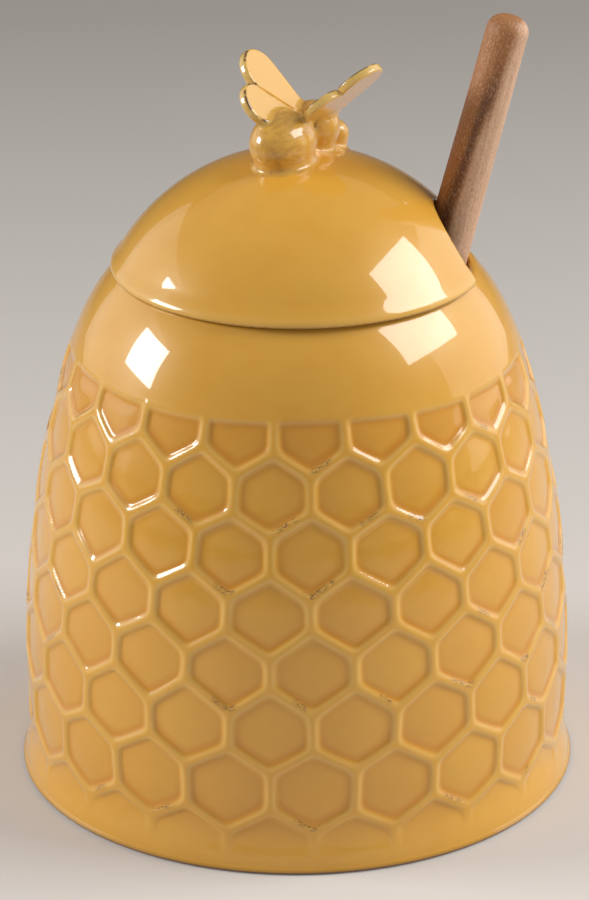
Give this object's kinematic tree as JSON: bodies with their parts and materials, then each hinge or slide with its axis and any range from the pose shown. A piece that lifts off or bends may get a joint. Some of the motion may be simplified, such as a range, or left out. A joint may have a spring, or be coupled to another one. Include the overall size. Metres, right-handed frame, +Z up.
{
  "type": "honey pot with lid and dipper",
  "caption": "Glazed honey pot with honeycomb relief, loose domed lid with a bee finial, and a wooden dipper leaning out through the lid's arch.",
  "frame": {"origin": "centre of the pot's foot, on the surface it stands on", "axes": "+Z up along the pot's axis, +X towards the lid's arch and the dipper, -Y towards the front"},
  "size_m": [0.1304, 0.1304, 0.1796],
  "materials": {
    "honey_glaze": "gloss honey-amber glaze",
    "bee_glaze": "gloss honey glaze over faint brushed brown lines",
    "wing_glaze": "gloss pale honey glaze with a thin brown edge line",
    "turned_wood": "turned, sanded, unvarnished"
  },
  "bodies": {
    "pot": {"pot": "honey_glaze"},
    "lid": {"lid": "honey_glaze", "bee_abdomen": "bee_glaze", "bee_thorax": "bee_glaze", "bee_head": "bee_glaze", "bee_wing_left": "wing_glaze", "bee_wing_right": "wing_glaze"},
    "dipper": {"dipper": "turned_wood"}
  },
  "joints": [
    {"name": "lid_lift", "type": "slide", "parent": "pot", "child": "lid", "axis": [0, 0, 1], "range_m": [0, 0.08]},
    {"name": "dipper_slide", "type": "slide", "parent": "pot", "child": "dipper", "axis": [0.245, 0.0128, 0.9694], "range_m": [0, 0.06]}
  ]
}
